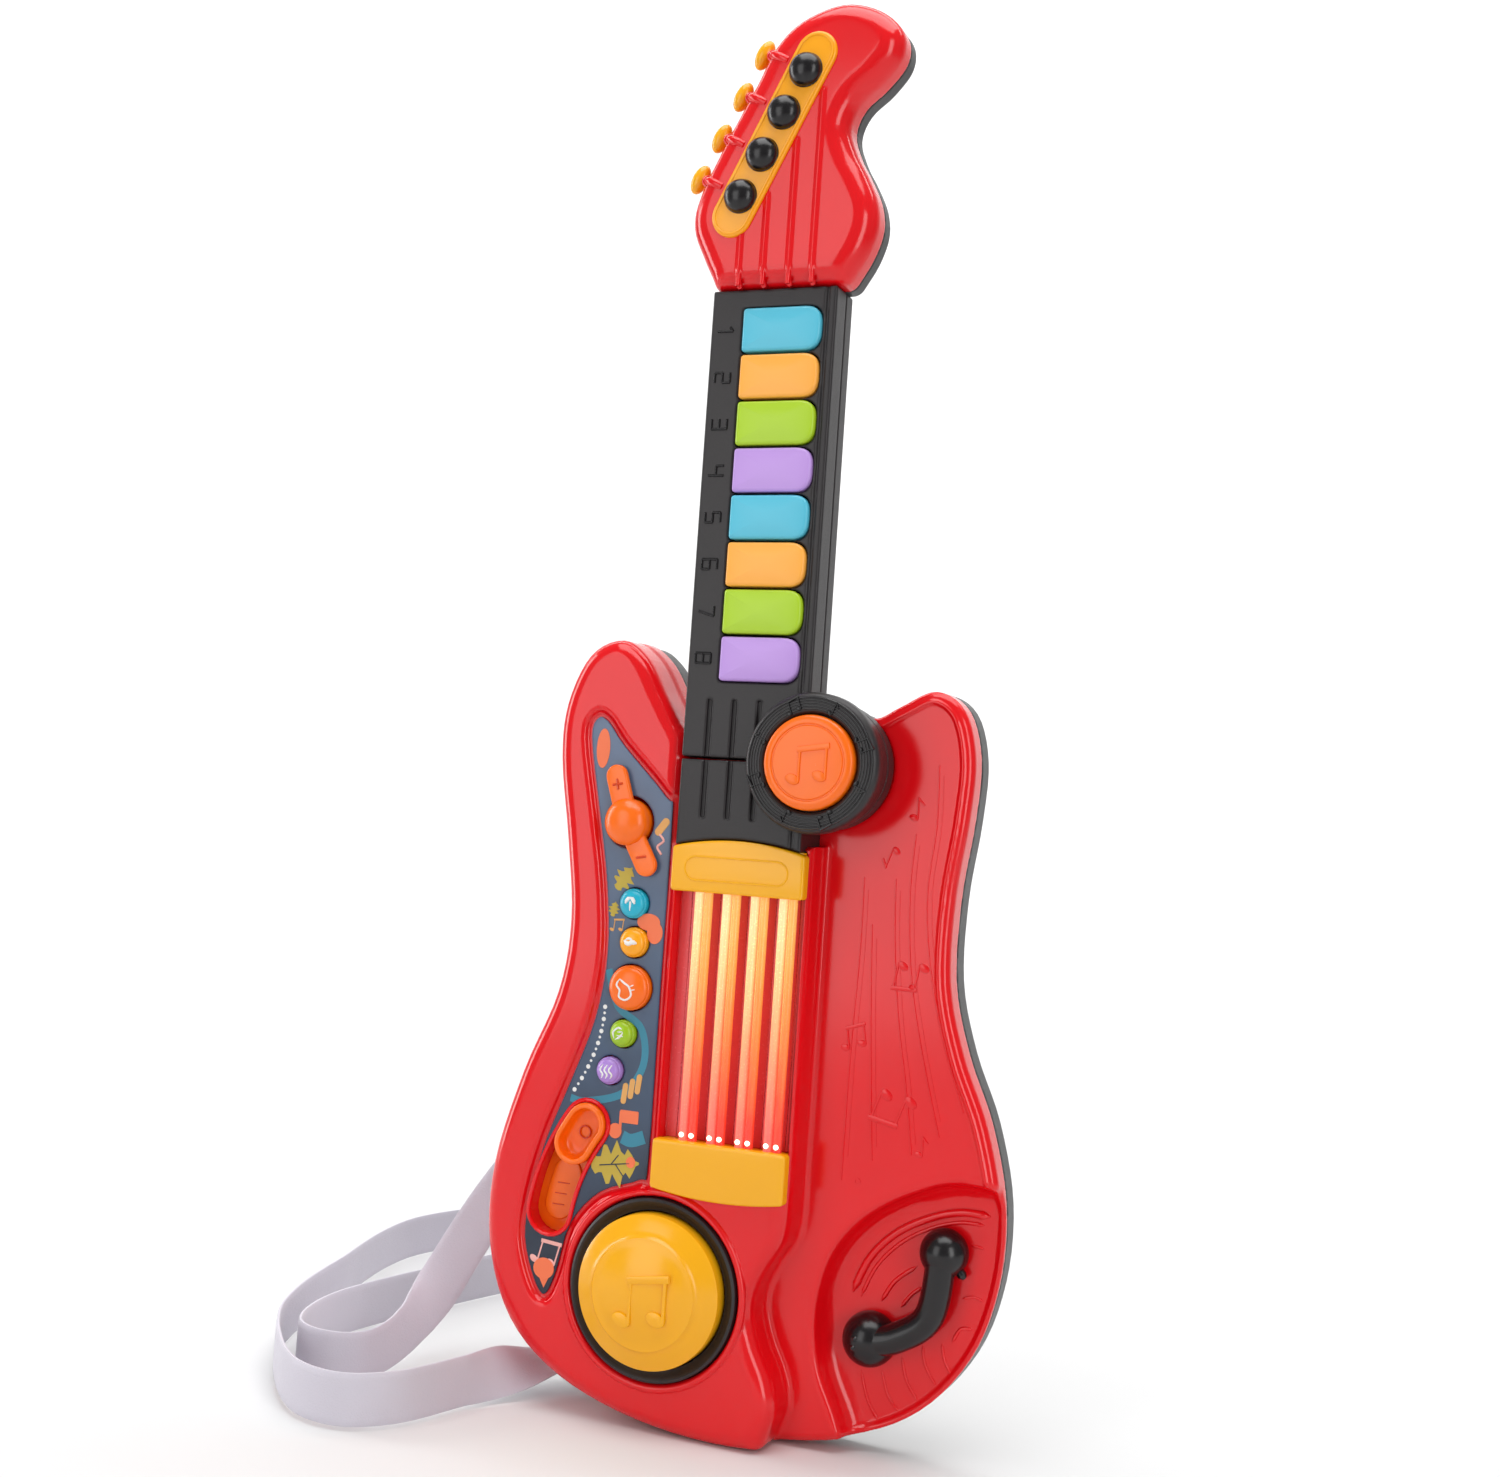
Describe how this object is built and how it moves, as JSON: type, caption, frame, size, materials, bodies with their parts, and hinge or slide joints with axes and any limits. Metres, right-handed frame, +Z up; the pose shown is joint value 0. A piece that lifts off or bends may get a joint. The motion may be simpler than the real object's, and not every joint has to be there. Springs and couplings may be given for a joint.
{
  "type": "toy electric guitar",
  "caption": "Toy electric guitar with light-up string bars, sound buttons, a drum pad, a whammy lever, a webbing strap and a keyed neck that folds down to make a keyboard.",
  "frame": {"origin": "centre of the upper strap pin's pocket on the back plane, behind the axis the neck folds on", "axes": "+X to the right seen from the front, +Z up along the neck, +Y out of the back; the front faces -Y"},
  "size_m": [0.3533, 0.3181, 0.5621],
  "materials": {
    "red_plastic": "gloss",
    "black_plastic": "satin",
    "black_gloss": "gloss",
    "yellow_plastic": "gloss",
    "amber_plastic": "gloss",
    "orange_plastic": "gloss",
    "key_cyan": "satin",
    "key_amber": "satin",
    "key_green": "satin",
    "key_purple": "satin",
    "button_cyan": "gloss",
    "button_green": "gloss",
    "button_purple": "gloss",
    "label": "gloss",
    "light_guide": "clear, glittered",
    "steel": "plain",
    "speaker_metal": "satin",
    "cell": "printed sleeve",
    "board": "solder mask",
    "pad_rubber": "matte",
    "webbing": "ribbed webbing"
  },
  "bodies": {
    "body": {"front_shell": "red_plastic", "back_shell": "black_plastic", "battery_door": "black_plastic", "battery_cells": "cell", "battery_contacts": "steel", "speaker": "speaker_metal", "main_board": "board", "panel_label": "label", "block_upper": "yellow_plastic", "block_lower": "yellow_plastic", "light_strings": "light_guide", "light_board": "board", "neck_stub": "black_plastic", "pivot_post": "black_plastic", "pivot_washer": "steel", "drum_ring": "black_plastic", "drum_spring": "steel", "slide_track": "orange_plastic", "whammy_spring": "steel", "strap_pins": "steel", "strap": "webbing", "hub_spring": "steel", "case_screws": "steel", "door_screw": "steel"},
    "neck": {"neck_back": "black_plastic", "neck_front": "black_plastic", "head_front": "red_plastic", "head_back": "black_plastic", "tuner_plate": "amber_plastic", "tuner_domes": "black_gloss", "tuner_pegs": "yellow_plastic", "hub_ring": "black_plastic", "key_board": "board", "key_pads": "pad_rubber", "neck_screws": "steel"},
    "hub_button": {"hub_button": "orange_plastic"},
    "drum_button": {"drum_button": "yellow_plastic"},
    "volume_rocker": {"volume_rocker": "orange_plastic"},
    "power_slider": {"power_slider": "orange_plastic"},
    "whammy_bar": {"whammy_bar": "black_gloss"},
    "key_1": {"key_1": "key_cyan"},
    "key_2": {"key_2": "key_amber"},
    "key_3": {"key_3": "key_green"},
    "key_4": {"key_4": "key_purple"},
    "key_5": {"key_5": "key_cyan"},
    "key_6": {"key_6": "key_amber"},
    "key_7": {"key_7": "key_green"},
    "key_8": {"key_8": "key_purple"},
    "sound_button_1": {"sound_button_1": "button_cyan"},
    "sound_button_2": {"sound_button_2": "amber_plastic"},
    "sound_button_3": {"sound_button_3": "orange_plastic"},
    "sound_button_4": {"sound_button_4": "button_green"},
    "sound_button_5": {"sound_button_5": "button_purple"}
  },
  "joints": [
    {"name": "neck_fold", "type": "hinge", "parent": "body", "child": "neck", "pos_m": [0, -0.036, 0], "axis": [0, 1, 0], "range_deg": [0, 180]},
    {"name": "key_1_press", "type": "slide", "parent": "neck", "child": "key_1", "axis": [0, 1, 0], "range_m": [0, 0.002], "stiffness_N_per_m": 200},
    {"name": "key_2_press", "type": "slide", "parent": "neck", "child": "key_2", "axis": [0, 1, 0], "range_m": [0, 0.002], "stiffness_N_per_m": 200},
    {"name": "key_3_press", "type": "slide", "parent": "neck", "child": "key_3", "axis": [0, 1, 0], "range_m": [0, 0.002], "stiffness_N_per_m": 200},
    {"name": "key_4_press", "type": "slide", "parent": "neck", "child": "key_4", "axis": [0, 1, 0], "range_m": [0, 0.002], "stiffness_N_per_m": 200},
    {"name": "key_5_press", "type": "slide", "parent": "neck", "child": "key_5", "axis": [0, 1, 0], "range_m": [0, 0.002], "stiffness_N_per_m": 200},
    {"name": "key_6_press", "type": "slide", "parent": "neck", "child": "key_6", "axis": [0, 1, 0], "range_m": [0, 0.002], "stiffness_N_per_m": 200},
    {"name": "key_7_press", "type": "slide", "parent": "neck", "child": "key_7", "axis": [0, 1, 0], "range_m": [0, 0.002], "stiffness_N_per_m": 200},
    {"name": "key_8_press", "type": "slide", "parent": "neck", "child": "key_8", "axis": [0, 1, 0], "range_m": [0, 0.002], "stiffness_N_per_m": 200},
    {"name": "hub_press", "type": "slide", "parent": "body", "child": "hub_button", "axis": [0, 1, 0], "range_m": [0, 0.002], "stiffness_N_per_m": 250},
    {"name": "drum_press", "type": "slide", "parent": "body", "child": "drum_button", "axis": [0, 1, 0], "range_m": [0, 0.003], "stiffness_N_per_m": 300},
    {"name": "sound_button_1_press", "type": "slide", "parent": "body", "child": "sound_button_1", "axis": [0, 1, 0], "range_m": [0, 0.0015], "stiffness_N_per_m": 150},
    {"name": "sound_button_2_press", "type": "slide", "parent": "body", "child": "sound_button_2", "axis": [0, 1, 0], "range_m": [0, 0.0015], "stiffness_N_per_m": 150},
    {"name": "sound_button_3_press", "type": "slide", "parent": "body", "child": "sound_button_3", "axis": [0, 1, 0], "range_m": [0, 0.0015], "stiffness_N_per_m": 150},
    {"name": "sound_button_4_press", "type": "slide", "parent": "body", "child": "sound_button_4", "axis": [0, 1, 0], "range_m": [0, 0.0015], "stiffness_N_per_m": 150},
    {"name": "sound_button_5_press", "type": "slide", "parent": "body", "child": "sound_button_5", "axis": [0, 1, 0], "range_m": [0, 0.0015], "stiffness_N_per_m": 150},
    {"name": "volume_rock", "type": "hinge", "parent": "body", "child": "volume_rocker", "pos_m": [-0.0795, -0.04, -0.027], "axis": [0.9135, 0, 0.4067], "range_deg": [-3, 3], "stiffness_Nm_per_rad": 0.05},
    {"name": "power_slide", "type": "hinge", "parent": "body", "child": "power_slider", "pos_m": [-0.0185, -0.038, -0.1958], "axis": [0, -1, 0], "range_deg": [0, 19.5]},
    {"name": "whammy_swing", "type": "hinge", "parent": "body", "child": "whammy_bar", "pos_m": [0.0262, -0.0156, -0.2191], "axis": [0, 1, 0], "range_deg": [-15, 15], "stiffness_Nm_per_rad": 0.3}
  ]
}
